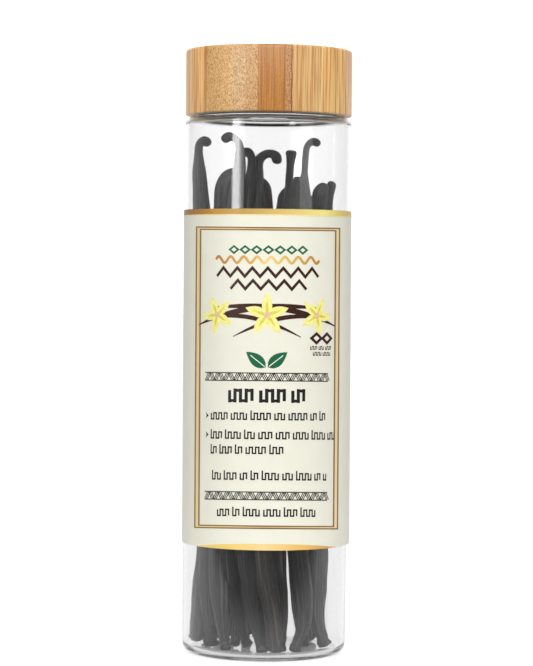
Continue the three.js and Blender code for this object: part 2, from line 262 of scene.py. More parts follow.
for name, (bearing, distance, low, wide, tall, brightness, lights_paper) in SOFT_BOXES.items():
    light = bpy.data.lights.new(name, "AREA")
    light.shape = "RECTANGLE"
    light.size, light.size_y = wide, tall
    light.energy = brightness * math.pi * wide * tall
    box = in_scene(name, light)
    angle = math.radians(bearing)
    box.location = (distance * math.sin(angle), -distance * math.cos(angle), low + tall / 2)
    box.rotation_euler = (0, 0, 0) if name.startswith("overhead") else (math.radians(90), 0, angle)
    box.visible_camera = False
    box.visible_diffuse = lights_paper
print(len(SOFT_BOXES), "soft boxes")

# %% Lay the floor
FLOOR_RADIUS = 6000
FLOOR_SIDES = 96
FLOOR_HEIGHT = -0.02
floor_points = [(FLOOR_RADIUS * math.cos(a), FLOOR_RADIUS * math.sin(a), FLOOR_HEIGHT)
                for a in np.linspace(0, 2 * math.pi, FLOOR_SIDES + 1)[:-1]]
# The card's emission is painted light, with a painted shadow under the tube.
white_card, tree, shader = material("white_card_lit_from_below_with_painted_shadow")
spot = add(tree, "ShaderNodeTexCoord").outputs["Object"]
feed(shader, {"Base Color": "#2c2c2c", "Roughness": 0.9, "Emission Color": "#ffffff",
              "Emission Strength": faded(tree, spot, FLOOR_GLOW_AND_PAINTED_SHADOW)})
floor = to_object("floor", floor_points, [list(range(FLOOR_SIDES))], white_card)
print("floor:", FLOOR_RADIUS * 2 * MM, "m across")

# %% [markdown]
# ## The clear tube
#
# The tube is blown or injection moulded in one piece: a thin wall with a slight draft, a rounded
# shoulder, a straight neck and a shallow recess under the base. A profile turned about the axis gives
# all of it. Its curves need far more steps than a solid for handling, because clear plastic bends
# what is seen through it and shows every facet.

# %% Turn a profile
SEGMENTS = 256


def turned(name, profile, finish):
    """A closed profile of (radius, height) in millimetres, turned about the axis."""
    angles = np.linspace(0, 2 * math.pi, SEGMENTS + 1)[:-1]
    points, rings = [], []
    for radius, z in profile:
        count = 1 if radius < 1e-6 else SEGMENTS
        rings.append((len(points), count))
        points += [(radius * math.cos(a), radius * math.sin(a), z) for a in angles[:count]]
    faces = []
    for (a, count_a), (b, count_b) in zip(rings, rings[1:]):
        for i in range(SEGMENTS):
            j = (i + 1) % SEGMENTS
            corners = [a + i % count_a, a + j % count_a, b + j % count_b, b + i % count_b]
            faces.append(list(dict.fromkeys(corners)))
    piece = to_object(name, points, faces, finish)
    point_outwards(piece)
    return piece


def corner(radius_at, height_at, radius, start, end, steps):
    """Points of an arc in a profile, from one angle to another in degrees."""
    angles = np.radians(np.linspace(start, end, steps + 1))
    return [(radius_at + radius * math.cos(a), height_at + radius * math.sin(a)) for a in angles]


# %% Mould the tube
SHOULDER_HEIGHT = 158.3
TOP_RADIUS = 24.75
BASE_RADIUS = 24.2
WALL = 1
SHOULDER_ROUND = 1.7
HEEL_ROUND = 2.8
RECESS_RADIUS = 17.5
RECESS_DEPTH = 0.4
NECK_RADIUS = 20.7
NECK_WALL = 1.2
NECK_FOOT_ROUND = 0.5
NECK_FOOT_INSIDE = 0.4
NECK_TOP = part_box("tube")[1].z / MM
FLOOR_TOP = RECESS_DEPTH + WALL


def tube_radius(z):
    """The outer radius of the tube at a height, with its draft."""
    return BASE_RADIUS + (TOP_RADIUS - BASE_RADIUS) * z / SHOULDER_HEIGHT


heel_outside = tube_radius(HEEL_ROUND)
heel_inside = heel_outside - WALL
inner_shoulder = SHOULDER_ROUND - WALL / 2
inner_heel = HEEL_ROUND - WALL
tube_profile = [
    (0, RECESS_DEPTH), (RECESS_RADIUS - RECESS_DEPTH, RECESS_DEPTH),
    *corner(RECESS_RADIUS, RECESS_DEPTH, RECESS_DEPTH, 180, 270, 4)[1:],
    *corner(heel_outside - HEEL_ROUND, HEEL_ROUND, HEEL_ROUND, -90, 0, 14),
    *corner(TOP_RADIUS - SHOULDER_ROUND, SHOULDER_HEIGHT - SHOULDER_ROUND, SHOULDER_ROUND, 0, 90, 10),
    *corner(NECK_RADIUS + NECK_FOOT_ROUND, SHOULDER_HEIGHT + NECK_FOOT_ROUND, NECK_FOOT_ROUND, 270, 180, 5),
    (NECK_RADIUS, NECK_TOP), (NECK_RADIUS - NECK_WALL, NECK_TOP),
    *corner(NECK_RADIUS - NECK_WALL + NECK_FOOT_INSIDE, SHOULDER_HEIGHT - WALL + NECK_FOOT_INSIDE,
            NECK_FOOT_INSIDE, 180, 270, 4),
    *corner(TOP_RADIUS - WALL - inner_shoulder, SHOULDER_HEIGHT - WALL - inner_shoulder,
            inner_shoulder, 90, 0, 8),
    *corner(heel_inside - inner_heel, FLOOR_TOP + inner_heel, inner_heel, 0, -90, 10),
    (0, FLOOR_TOP),
]

# %% [markdown]
# Clear acrylic: no colour of its own, but each wall takes a few percent of the light, and the long way
# through the heel and the shoulder takes more, which greys them. Its refractive index is 1.49, about
# that of glass, and as moulded it is nearly mirror smooth.

# %% Finish: clear moulded acrylic
clear_acrylic, tree, shader = material("clear_moulded_acrylic")
feed(shader, {"Base Color": "#f7f7f7", "Roughness": 0.02, "IOR": 1.49, "Transmission Weight": 1})
dimming = add(tree, "ShaderNodeVolumeAbsorption", inputs={"Color": "#8a8886", "Density": 60.0})
feed(tree.nodes["Material Output"], {"Volume": dimming})

tube = turned("clear_tube", tube_profile, clear_acrylic)
hand_over(tube, "tube", smooth=40)

# %% [markdown]
# ## The bamboo lid
#
# Strips of bamboo are glued side by side into a block, and the lid is turned from it, so the upright
# joints run across the lid as flat planes. The strips differ: some show fine straight fibres, some
# are speckled with cut fibre ends, some are warmer and wavy. The top edge is rounded over.

# %% Finish: sanded laminated bamboo
LID_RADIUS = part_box("lid")[1].x / MM
# Where each strip begins, from left to right, and the colour of its ground, with painted light in it.
# Painted light: the strips at both sides and the left part of the pale strip are painted lighter, to make up
# for the shade that falls there, and the part from -10.6 to -6.9 mm holds a painted sheen.
STRIPS_WITH_PAINTED_LIGHT = [(-25.0, "#fccb84"), (-18.9, "#c88f50"), (-18.3, "#dcb577"), (-10.6, "#d2b07f"),
          (-6.9, "#cba46c"), (-3.3, "#bb843e"), (4.7, "#c1935e"), (6.2, "#925f34"), (6.6, "#d7af72"),
          (10.8, "#ddb67b"), (14.7, "#f2d4a0"), (15.3, "#ecc07b"), (19.5, "#f6ca84")]
# How speckled they are, from the left edge at 0 to the right one at 1: white is speckled.
SPECKLES = [(0, "#000000"), (0.136, "#ffffff"), (0.434, "#8c8c8c"), (0.594, "#ffffff"), (0.634, "#000000")]
WANDER = 0.4  # of the joints, in millimetres from side to side at the very most
# Waves to the millimetre, detail and roughness. Fibres are about 0.5 mm wide and run the height of the
# lid. Cut fibre ends are grains of about 0.3 mm.
FIBRES = ((1.9, 1.9, 0.035), 4.0, 0.62)
GRAINS = ((3.5, 3.5, 1.7), 2.0, 0.7)

bamboo, tree, shader = material("sanded_laminated_bamboo")
in_mm = in_millimetres(tree)
wavering = drawn_out(tree, in_mm, (0.25,) * 3, 1.0)
sideways = add(tree, "ShaderNodeSeparateXYZ", inputs={0: in_mm}).outputs["X"]
shift = add(tree, "ShaderNodeMath", {"operation": "MULTIPLY_ADD"}, {0: wavering, 1: WANDER, 2: sideways})
across = add(tree, "ShaderNodeMapRange", inputs={
    "Value": shift, "From Min": -LID_RADIUS + WANDER / 2, "From Max": LID_RADIUS + WANDER / 2})
strip_and_painted_light_stops = [(max(0, (x + LID_RADIUS) / (2 * LID_RADIUS)), colour) for x, colour in STRIPS_WITH_PAINTED_LIGHT]
strip_colours_and_painted_light, speckled = (add(tree, "ShaderNodeValToRGB", inputs={"Fac": across}, stops=stops)
                    for stops in (strip_and_painted_light_stops, SPECKLES))
strip_colours_and_painted_light.color_ramp.interpolation = speckled.color_ramp.interpolation = "CONSTANT"
fibres, grains = (add(tree, "ShaderNodeMapRange", inputs={
    "Value": drawn_out(tree, in_mm, *noise), "From Min": 0.38, "From Max": 0.58})
    for noise in (FIBRES, GRAINS))
tone = add(tree, "ShaderNodeMix", {"data_type": "FLOAT"}, {0: speckled, 2: fibres, 3: grains})
# Where it is darker it is also warmer.
warmth = add(tree, "ShaderNodeMix", {"data_type": "RGBA"}, {0: tone, 6: "#cba271", 7: "#ffffff"})
toned = add(tree, "ShaderNodeMix", {"data_type": "RGBA", "blend_type": "MULTIPLY"},
            {0: 1.0, 6: strip_colours_and_painted_light, 7: warmth.outputs[2]})
relief = add(tree, "ShaderNodeBump", inputs={"Strength": 0.25, "Distance": 0.00012, "Height": tone})
feed(shader, {"Base Color": toned.outputs[2], "Roughness": 0.32, "Specular IOR Level": 0.5,
              "Normal": relief})

# %% Turn the lid
LID_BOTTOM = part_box("lid")[0].z / MM
LID_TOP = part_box("lid")[1].z / MM
LID_WALL = 2.4
LID_CROWN = 4
LID_EDGE = 0.9
LOWER_EDGE = 0.5
BORE_BEVEL = 0.3
bore = LID_RADIUS - LID_WALL
lid_profile = [
    (0, LID_TOP - LID_CROWN), (bore, LID_TOP - LID_CROWN), (bore, LID_BOTTOM + BORE_BEVEL),
    (bore + BORE_BEVEL, LID_BOTTOM),
    *corner(LID_RADIUS - LOWER_EDGE, LID_BOTTOM + LOWER_EDGE, LOWER_EDGE, -90, 0, 6),
    *corner(LID_RADIUS - LID_EDGE, LID_TOP - LID_EDGE, LID_EDGE, 0, 90, 8),
    (LID_RADIUS - 4, LID_TOP), (0, LID_TOP),
]
lid = turned("bamboo_lid", lid_profile, bamboo)
hand_over(lid, "lid", smooth=40)

# %% [markdown]
# The insert is a plain moulded cup that the neck screws into. Only its lower rim shows, through the
# shoulder of the tube, so the frame's own solid stays and gets its finish here.

# %% Finish: moulded white polypropylene
white_pp = uneven("moulded_white_polypropylene", "#dedbd2", "#eae8e1", 0.9, 0.4, 0.5)[0]
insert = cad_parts["lid_insert"]
insert.data.materials.clear()
insert.data.materials.append(white_pp)
print(insert.name, "finished")

# %% [markdown]
# ## The paper label
#
# One sheet of cream paper, 0.12 mm thick, is wrapped round the tube and leaves a gap of 3 mm at the
# back. It is a straight roll, so it lies close at the top and stands off the slimmer lower end of
# the tube, where it hangs a little to the right. It is made as a flat sheet first, because that is
# how it is printed, and then rolled. Every printed mark goes through the same rolling, a few
# hundredths of a millimetre further out.

# %% Roll the sheet
LABEL_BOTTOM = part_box("label")[0].z / MM
LABEL_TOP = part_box("label")[1].z / MM
LABEL_INSIDE = 24.78
LABEL_THICKNESS = 0.12
LABEL_OPENING = 3
LABEL_LEAN = 0.33  # how far its lower end hangs to the right
GIRTH_RADIUS = LABEL_INSIDE + LABEL_THICKNESS
HALF_GIRTH = math.pi * GIRTH_RADIUS - LABEL_OPENING / 2


def rolled(u, z, lift):
    """A point of the flat sheet, rolled: u mm to the right of the front, lift mm above its inner face."""
    angle = u / GIRTH_RADIUS
    radius = LABEL_INSIDE + lift
    lean = LABEL_LEAN * (LABEL_TOP - z) / (LABEL_TOP - LABEL_BOTTOM)
    return radius * math.sin(angle) + lean, -radius * math.cos(angle), z


def paper_sheet(name, finish):
    """The label as a closed thin sheet."""
    steps = 240
    across = np.linspace(-HALF_GIRTH, HALF_GIRTH, steps + 1)
    points, faces = [], []
    for u in across:
        for z, lift in ((LABEL_BOTTOM, 0), (LABEL_BOTTOM, LABEL_THICKNESS),
                        (LABEL_TOP, LABEL_THICKNESS), (LABEL_TOP, 0)):
            points.append(rolled(u, z, lift))
    for i in range(steps):
        for k in range(4):
            a, b = 4 * i + k, 4 * i + (k + 1) % 4
            faces.append([a, b, b + 4, a + 4])
    faces += [[0, 1, 2, 3], [4 * steps + k for k in (3, 2, 1, 0)]]
    piece = to_object(name, points, faces, finish)
    point_outwards(piece)
    return piece


# %% Finish: smooth uncoated cream paper
cream_paper, tree, shader = uneven(
    "smooth_cream_paper", "#e6e4d3", "#e9e7d8", 0.2, 0.5, 0.35, detail=3.0)
tooth = drawn_out(tree, in_millimetres(tree), (4.0,) * 3, 2.0)
feed(shader, {"Normal": add(tree, "ShaderNodeBump", inputs={
    "Strength": 0.1, "Distance": 0.00002, "Height": tooth})})

label = paper_sheet("paper_label", cream_paper)
hand_over(label, "label")

# %% [markdown]
# ## The print
#
# The print is made of plain fields of colour: gold bands at the label's ends, a double gold frame,
# rows of diamonds, zigzags and waves where a label has its lines of words, two hatched bands, a
# garland with three blossoms and a pair of leaves. Each mark is drawn flat, in millimetres, as a
# ribbon that follows a line or as a filled outline.

# %% Draw flat marks


def ribbon(line, width, closed=False):
    """A band of a width along a line of (u, z) points, mitred at its corners: points and faces."""
    line = np.asarray(line, float)
    ahead = np.roll(line, -1, 0) - line
    behind = line - np.roll(line, 1, 0)
    if not closed:
        ahead[-1], behind[0] = behind[-1], ahead[0]
    ahead /= np.linalg.norm(ahead, axis=1)[:, None]
    behind /= np.linalg.norm(behind, axis=1)[:, None]
    normal = np.stack([-(ahead + behind)[:, 1], (ahead + behind)[:, 0]], 1)
    normal /= np.linalg.norm(normal, axis=1)[:, None]
    stretch = 1 / np.clip((normal * np.stack([-ahead[:, 1], ahead[:, 0]], 1)).sum(1), 0.4, 1)
    offset = normal * (stretch * width / 2)[:, None]
    count = len(line)
    points = np.vstack([line + offset, line - offset])
    last = count if closed else count - 1
    return points, [[count + i, count + (i + 1) % count, (i + 1) % count, i] for i in range(last)]


def bar(low_u, high_u, low_z, high_z):
    """A rectangle cut into steps of about a millimetre, so that it rolls well."""
    steps = max(1, round(high_u - low_u))
    line = [(u, (low_z + high_z) / 2) for u in np.linspace(low_u, high_u, steps + 1)]
    return ribbon(line, high_z - low_z)


def patch(outline):
    """A filled outline, fanned from its middle."""
    outline = np.asarray(outline, float)
    count = len(outline)
    points = np.vstack([outline, outline.mean(0)])
    return points, [[count, i, (i + 1) % count] for i in range(count)]


def joined(marks):
    """Several marks as one."""
    points, faces = [], []
    for mark_points, mark_faces in marks:
        faces += [[i + sum(len(p) for p in points) for i in face] for face in mark_faces]
        points.append(np.asarray(mark_points))
    return np.vstack(points), faces


def moved(mark, u=0, z=0, scale=1, turn=0):
    """A mark turned by degrees, scaled and moved to its place."""
    points, faces = mark
    angle = math.radians(turn)
    spin = np.array([[math.cos(angle), -math.sin(angle)], [math.sin(angle), math.cos(angle)]])
    return np.asarray(points) @ spin.T * scale + (u, z), faces


def mirrored(mark):
    """A mark mirrored left to right, its faces turned back to the front."""
    points, faces = mark
    return np.asarray(points) * (-1, 1), [face[::-1] for face in faces]


# %% [markdown]
# Rolling and repeating are one Geometry Nodes tree: the flat mark is set on the points of a line,
# count times at a pitch, the copies are made real, cut finer and bent round the tube, and the ink is
# set last. The inputs carry the sizes, so the same tree prints a single frame or a band of hatching.
# Arithmetic is written as a list of steps, each with a name, an operation and what it works on.
#
# Artwork for a round pack is drawn with a slight counter bow, which makes its level lines look
# straight to a viewer in front: towards the sides, what is above eye level rises and what is below
# sinks.

# %% Build the printing tree
EYE_LEVEL = 112
COUNTER_BOW = 0.031  # for each millimetre above eye level, where the sheet has turned by 90 degrees
PRINT_INPUTS = {"Count": ("Int", 1), "Pitch": ("Float", 0.0), "Cuts": ("Int", 0),
                "Bow": ("Float", COUNTER_BOW), "Lift": ("Float", 0.0), "Ink": ("Material", None)}


def geometry_tree(name, inputs):
    """A Geometry Nodes tree with named inputs, and the sockets that give them."""
    made = bpy.data.node_groups.new(name, "GeometryNodeTree")
    for label, (kind, value) in {"Geometry": ("Geometry", None), **inputs}.items():
        socket = made.interface.new_socket(label, in_out="INPUT", socket_type="NodeSocket" + kind)
        if value is not None:
            socket.default_value = value
    made.interface.new_socket("Geometry", in_out="OUTPUT", socket_type="NodeSocketGeometry")
    return made, add(made, "NodeGroupInput").outputs


def work_out(tree, known, steps):
    """Works through steps of arithmetic. Their terms are numbers or names that are already known."""
    for name, operation, *terms in steps:
        known[name] = add(tree, "ShaderNodeMath", {"operation": operation},
                          {i: known.get(term, term) for i, term in enumerate(terms)})


def printing_tree():
    """Repeats a flat mark along the girth, rolls it onto the tube and inks it."""
    made, given = geometry_tree("print_round_the_tube", PRINT_INPUTS)
    step = add(made, "ShaderNodeCombineXYZ", inputs={"X": given["Pitch"]})
    row = add(made, "GeometryNodeMeshLine", inputs={"Count": given["Count"], "Offset": step})
    copies = add(made, "GeometryNodeInstanceOnPoints",
                 inputs={"Points": row, "Instance": given["Geometry"]})
    real = add(made, "GeometryNodeRealizeInstances", inputs={0: copies})
    fine = add(made, "GeometryNodeSubdivideMesh", inputs={"Mesh": real, "Level": given["Cuts"]})
    flat = add(made, "ShaderNodeSeparateXYZ", inputs={0: add(made, "GeometryNodeInputPosition")}).outputs
    lean = add(made, "ShaderNodeMapRange", inputs={
        "Value": flat["Z"], "From Min": LABEL_BOTTOM * MM, "From Max": LABEL_TOP * MM,
        "To Min": LABEL_LEAN * MM, "To Max": 0.0})
    known = {"along": flat["X"], "height": flat["Z"], "lean": lean}
    known |= {name: given[name] for name in ("Lift", "Bow")}
    work_out(made, known, [
        ("angle", "DIVIDE", "along", GIRTH_RADIUS * MM),
        ("radius", "ADD", "Lift", GIRTH_RADIUS * MM),
        ("sine", "SINE", "angle"),
        ("cosine", "COSINE", "angle"),
        ("X", "MULTIPLY_ADD", "radius", "sine", "lean"),
        ("forward", "MULTIPLY", "radius", "cosine"),
        ("Y", "MULTIPLY", "forward", -1.0),
        ("above", "SUBTRACT", "height", EYE_LEVEL * MM),
        ("turned away", "SUBTRACT", 1.0, "cosine"),
        ("rise", "MULTIPLY", "above", "Bow"),
        ("Z", "MULTIPLY_ADD", "rise", "turned away", "height"),
    ])
    bent = add(made, "ShaderNodeCombineXYZ", inputs={axis: known[axis] for axis in "XYZ"})
    placed = add(made, "GeometryNodeSetPosition", inputs={"Geometry": fine, "Position": bent})
    inked = add(made, "GeometryNodeSetMaterial", inputs={"Geometry": placed, "Material": given["Ink"]})
    add(made, "NodeGroupOutput", inputs={0: inked})
    return made


def baked(piece, tree, values):
    """Runs a Geometry Nodes tree on a piece and keeps the result as its plain mesh."""
    modifier = piece.modifiers.new(tree.name, "NODES")
    modifier.node_group = tree
    for item in tree.interface.items_tree:
        if item.in_out == "INPUT" and item.name in values:
            modifier[item.identifier] = values[item.name]
    piece.data.update()
    graph = bpy.context.evaluated_depsgraph_get()
    result = bpy.data.meshes.new_from_object(piece.evaluated_get(graph))
    piece.modifiers.remove(modifier)
    piece.data = result
    result.name = piece.name


PRINTING = printing_tree()
INK_LAYERS = (0.018, 0.03, 0.05, 0.065, 0.08)  # how high inks lie that are printed over each other


def printed(name, mark, ink, layer=1, cuts=0, count=1, pitch=0, bow=COUNTER_BOW):
    """Prints a flat mark on the label as a piece of its own."""
    points, faces = mark
    flat = np.stack([points[:, 0], np.zeros(len(points)), points[:, 1]], 1)
    piece = to_object(name, flat, faces)
    baked(piece, PRINTING, {"Count": count, "Pitch": pitch * MM, "Lift": INK_LAYERS[layer] * MM,
                             "Cuts": cuts, "Bow": bow, "Ink": ink})
    hand_over(piece)


# %% [markdown]
# Inks are smooth, thin and slightly glossy. The gold is printed ink, not metal, and its blend across the
# label from brown to pale yellow is a painted sheen of metal gold: its colour changes across the label.

# %% Mix the inks


def plain_ink(name, dark, light):
    """An ink of one colour, a little uneven over about 1 mm, as it lies on the paper."""
    return uneven(name, dark, light, 1.0, 0.45, 0.25, spread=0.15)[0]


def gold_ink_with_painted_sheen(name, stops):
    """A gold ink with a painted sheen: a blend of colours from the left of the label to its right."""
    made, tree, shader = material(name)
    place = add(tree, "ShaderNodeTexCoord").outputs["Object"]
    sideways = add(tree, "ShaderNodeSeparateXYZ", inputs={0: place}).outputs["X"]
    across = add(tree, "ShaderNodeMapRange", inputs={
        "Value": sideways, "From Min": -LID_RADIUS * MM, "From Max": LID_RADIUS * MM})
    # The gold's sheen is painted: its colour follows its place across the label.
    blend = add(tree, "ShaderNodeValToRGB", inputs={"Fac": across}, stops=stops)
    feed(shader, {"Base Color": blend, "Roughness": 0.36, "Specular IOR Level": 0.3})
    return made


gold_band = gold_ink_with_painted_sheen("gold_of_the_top_band_with_painted_sheen", [
    (0.0, "#8d5816"), (0.2, "#c39645"), (0.35, "#bc9647"), (0.52, "#d2b266"), (0.71, "#e2cd7d"),
    (0.83, "#f1e487"), (1.0, "#d2b458")])
gold_edge = gold_ink_with_painted_sheen("gold_of_the_lower_band_with_painted_sheen", [
    (0.05, "#f6e28a"), (0.25, "#ecc966"), (0.5, "#f1d391"), (0.75, "#e6b65e"), (0.95, "#cd9440")])
gold_line = gold_ink_with_painted_sheen("gold_of_the_outlines", [(0.0, "#8a6a35"), (0.5, "#6e5228"), (1.0, "#80602f")])
gold_pale = gold_ink_with_painted_sheen("pale_gold_between_the_outlines", [
    (0.0, "#f0d59c"), (0.5, "#cfae7c"), (1.0, "#f0d8a4")])
gold_wave = gold_ink_with_painted_sheen("gold_of_the_wave", [
    (0.2, "#b07a30"), (0.42, "#dca950"), (0.5, "#f1d587"), (0.6, "#e0bb62"), (0.8, "#b4822f")])
brown_ink = plain_ink("dark_brown_ink", "#2e0f07", "#3a160c")
green_ink = plain_ink("leaf_green_ink", "#065a38", "#0b6640")
black_ink = plain_ink("black_ink", "#0c0c0c", "#1a1a1a")
petal_ink = plain_ink("pale_yellow_ink", "#efe67e", "#f5f0a4")
petal_shade = plain_ink("deeper_yellow_ink", "#d9cb3e", "#e6da55")
heart_ink = plain_ink("peach_ink", "#dcb591", "#e8c7a6")

# %% Print the gold bands
TOP_BAND = 1.6
TOP_GLOW = 0.45
LOWER_BAND = 1.9
LOWER_BAND_REACH = 56  # degrees to each side of the front, where the band has thinned to nothing

band_foot = LABEL_TOP - TOP_BAND
printed("top_gold_band", bar(-HALF_GIRTH, HALF_GIRTH, band_foot, LABEL_TOP), gold_band, bow=0)
printed("top_band_glow", bar(-HALF_GIRTH, HALF_GIRTH, band_foot - TOP_GLOW, band_foot),
        plain_ink("pale_straw_ink", "#e6d9a4", "#ece1b4"), bow=0)


def lens_band():
    """The lower band: full at the front, thinning evenly to each side."""
    reach = math.radians(LOWER_BAND_REACH)
    points, faces = [], []
    steps = 60
    for i, angle in enumerate(np.linspace(-reach, reach, steps + 1)):
        share = (math.cos(angle) - math.cos(reach)) / (1 - math.cos(reach))
        u = angle * GIRTH_RADIUS
        points += [(u, LABEL_BOTTOM), (u, LABEL_BOTTOM + 0.02 + LOWER_BAND * share)]
        if i:
            faces.append([2 * i - 2, 2 * i, 2 * i + 1, 2 * i - 1])
    return np.array(points), faces


printed("lower_gold_band", lens_band(), gold_edge, bow=0)

# %% [markdown]
# The frame is a double outline: two thin lines of darker gold with a pale gold band between them.

# %% Print the double frame
FRAME_LEFT = -20.9  # across the tube, seen from the front
FRAME_RIGHT = 21.2
FRAME_LOW = 38.8
FRAME_HIGH = 125.75


def girth_at(across):
    """How far round the sheet a place lies that is so far across the tube."""
    return GIRTH_RADIUS * math.asin(across / GIRTH_RADIUS)


def ring_of_bars(inset_u, inset_z, side, level):
    """Four bars round the frame's field at an inset, so wide at the sides and so high at top and bottom."""
    left, right = girth_at(FRAME_LEFT) + inset_u, girth_at(FRAME_RIGHT) - inset_u
    low, high = FRAME_LOW + inset_z, FRAME_HIGH - inset_z
    return joined([bar(left, right, low, low + level), bar(left, right, high - level, high),
                   bar(left, left + side, low + level, high - level),
                   bar(right - side, right, low + level, high - level)])


# The sides turn away from the viewer, so they are drawn about twice as wide as the level lines.
printed("frame_outlines", joined([ring_of_bars(0, 0, 0.75, 0.36), ring_of_bars(2.1, 0.68, 0.7, 0.34)]),
        gold_line)
printed("frame_band", ring_of_bars(0.75, 0.36, 1.35, 0.32), gold_pale)

# %% [markdown]
# Words give way to ornament of the same size and weight: a row of diamonds, a wave, and two rows of
# zigzag. Small print becomes a key pattern with word-like breaks, drawn by one seeded rule.

# %% Draw the heading rows


def zigzag(left, right, low, high, teeth):
    """A zigzag line of so many teeth."""
    us = np.linspace(left, right, 2 * teeth + 1)
    return [(u, high if i % 2 else low) for i, u in enumerate(us)]


def wave(left, right, middle, swing, waves, steps):
    """A sine line, with so many steps to a wave."""
    turns = np.linspace(0, waves, waves * steps + 1)
    return [(left + (right - left) * t / waves, middle + swing * math.sin(2 * math.pi * t)) for t in turns]


def diamond(width):
    """A diamond drawn with a line of a width."""
    return ribbon([(-1.3, 0), (0, -1.0), (1.3, 0), (0, 1.0)], width, closed=True)


printed("diamond_row", moved(diamond(0.56), -9.9, 119.2), green_ink, cuts=2, count=7, pitch=3.4)
printed("gold_wave", ribbon(wave(-15.9, 16.1, 116.3, 0.9, 8, 14), 0.78), gold_wave)
printed("zigzag_rows", joined([
    ribbon(zigzag(-15.5, 15.8, 111.5, 114.0, 7), 0.82),
    ribbon(zigzag(-10.9, 11.7, 107.9, 110.4, 5), 0.82),
]), brown_ink, cuts=2)

# %% Draw the small print
# From where to where, and how high.
PRINT_LINES = [(-17.3, 20.2, 70.4), (-17.3, 23, 64.9), (-17.3, 5.6, 60.6), (-16.7, 20, 53.1),
               (-14.8, 15.8, 42.6)]
small_print = np.random.default_rng(7)


def key_words(left, right, low, tall, weight, pitch, rise=0.0):
    """A line of small print: a key pattern in word-like lengths, some with a taller first stroke."""
    marks, u = [], left
    while u < right - pitch:
        strokes = min(int(small_print.integers(2, 7)), int((right - u) / pitch))
        taller = rise if small_print.uniform() < 0.6 else 0
        line = [(u, low + tall + taller), (u, low)]
        for i in range(1, strokes + 1):
            here, there = (low, low + tall) if i % 2 else (low + tall, low)
            line += [(u + i * pitch, here), (u + i * pitch, there)]
        marks.append(ribbon(line, weight))
        u += (strokes + 1.5) * pitch
    return marks


def bullet(u, z):
    """A small solid arrow head."""
    return patch([(u - 0.55, z - 0.95), (u + 0.5, z), (u - 0.55, z + 0.95), (u - 0.3, z)])


marks = []
for left, right, z in PRINT_LINES:
    marks += key_words(left, right, z, 1.75, 0.44, 0.92, rise=0.8)
marks += key_words(-11, 12.4, 75.7, 3.05, 0.98, 1.7)
marks += [bullet(-18.9, 71.4), bullet(-18.9, 65.9)]
printed("small_print", joined(marks), black_ink)
side_note = [moved(diamond(0.62), u, 93.9, 1.35) for u in (15.3, 19.3)]
side_note += key_words(13.2, 22, 90.7, 0.85, 0.26, 0.55) + key_words(14.2, 21, 89, 0.85, 0.26, 0.55)
printed("side_note", joined(side_note), brown_ink, cuts=1)

# %% [markdown]
# A hatched band is one motif repeated: three strokes that lean one way, three that lean the other.

# %% Print the hatched bands
HATCH_PITCH = 3.31
HATCH_COUNT = 12
HATCH_HEIGHT = 2.5
HATCH_BORDER = 0.3
HATCH_STROKE = 0.27
HATCH_SLANT = 0.62  # of half a motif


def hatch_motif(left, low):
    """One unit of the hatching, with its share of the two border lines."""
    half, high = HATCH_PITCH / 2, low + HATCH_HEIGHT
    inside = (low + HATCH_BORDER, high - HATCH_BORDER)
    strokes = []
    for foot_z, head_z, start in ((*inside, left), (*inside[::-1], left + half)):
        for k in range(3):
            foot = start + (k + 0.2) * half / 3
            strokes.append(ribbon([(foot, foot_z), (foot + half * HATCH_SLANT, head_z)], HATCH_STROKE))
    borders = [bar(left, left + HATCH_PITCH, z, z + HATCH_BORDER) for z in (low, high - HATCH_BORDER)]
    return joined(strokes + borders)


for name, low in (("upper_hatched_band", 81.4), ("lower_hatched_band", 47.1)):
    printed(name, hatch_motif(-HATCH_PITCH * HATCH_COUNT / 2, low), black_ink, cuts=1,
            count=HATCH_COUNT, pitch=HATCH_PITCH)

# %% [markdown]
# The garland: bowed stems cross under a large blossom, with a smaller one at each side, the same on
# the left as on the right. A petal is a pointed oval. The deeper yellow is a slimmer petal on top.

# %% Draw the garland


def petal(length, wide, points=9):
    """A pointed oval that grows upwards from its foot."""
    along = np.linspace(0, 1, points)
    half = wide / 2 * np.sin(math.pi * along ** 0.8) ** 0.9
    right = [(w, length * a) for a, w in zip(along, half)]
    left = [(-w, length * a) for a, w in zip(along[::-1], half[::-1])]
    return patch(right + left[1:-1])


def blossom(u, z, size, lean=0, petals=5):
    """Pale petals, their deeper streaks and a peach heart, as three marks."""
    turns = [lean + 360 / petals * k for k in range(petals)]
    pale = joined([moved(petal(size, size * 0.46), u, z, turn=t) for t in turns])
    deep = joined([moved(petal(size * 0.62, size * 0.13), u, z, turn=t) for t in turns])
    return pale, deep, patch(corner(u, z, size * 0.15, 0, 360, 16)[:-1])


def stem(start, end, bow, wide):
    """A bowed stem, thick in the middle and pointed at its ends."""
    (u0, z0), (u1, z1) = start, end
    upper, lower = [], []
    for share in np.linspace(0, 1, 26):
        u = u0 + (u1 - u0) * share
        z = z0 + (z1 - z0) * share + bow * math.sin(math.pi * share)
        half = wide / 2 * math.sin(math.pi * min(0.97, max(0.03, share))) ** 0.6
        upper.append((u, z + half))
        lower.append((u, z - half))
    count = len(upper)
    return np.array(upper + lower), [[count + i, count + i + 1, i + 1, i] for i in range(count - 1)]


